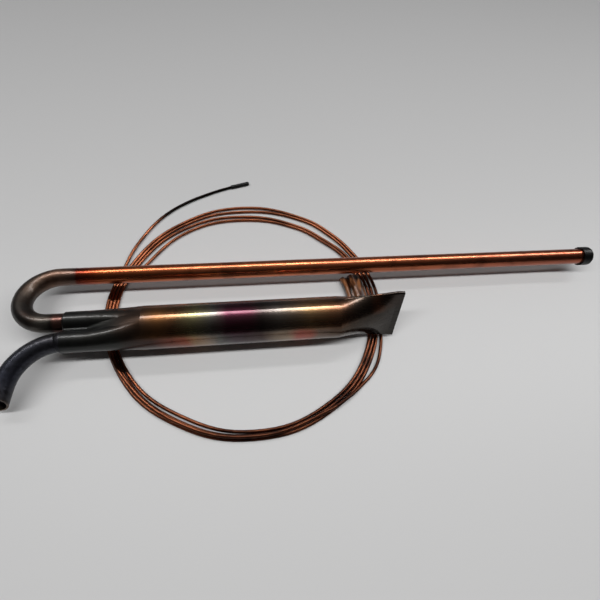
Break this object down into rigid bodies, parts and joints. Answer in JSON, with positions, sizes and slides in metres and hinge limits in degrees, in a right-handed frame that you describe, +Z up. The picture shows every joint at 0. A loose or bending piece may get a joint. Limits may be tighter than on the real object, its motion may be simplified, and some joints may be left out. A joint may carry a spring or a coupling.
{
  "type": "copper suction accumulator with capillary tube coil",
  "caption": "Pinched copper accumulator body with a U-bent suction tube, a short inlet elbow and a loose coil of thin capillary tube taped together under them.",
  "frame": {"origin": "centre of the bounding box in plan, on the floor", "axes": "+X along the straight suction tube towards its capped end, +Z up, +Y from the body towards the suction tube"},
  "size_m": [0.3385, 0.1838, 0.03],
  "materials": {
    "heat_tinted_copper": "polished, heat tinted",
    "copper": "bright, oxidised at the bend",
    "blackened_copper": "oxidised, satin",
    "capillary_copper": "bright",
    "black_plastic": "gloss",
    "brown_tape": "gloss"
  },
  "bodies": {
    "root": {"accumulator_body": "heat_tinted_copper", "suction_tube": "copper", "inlet_elbow": "blackened_copper", "capillary": "capillary_copper", "suction_cap": "black_plastic", "capillary_cap": "black_plastic", "coil_tie": "brown_tape"}
  },
  "joints": []
}
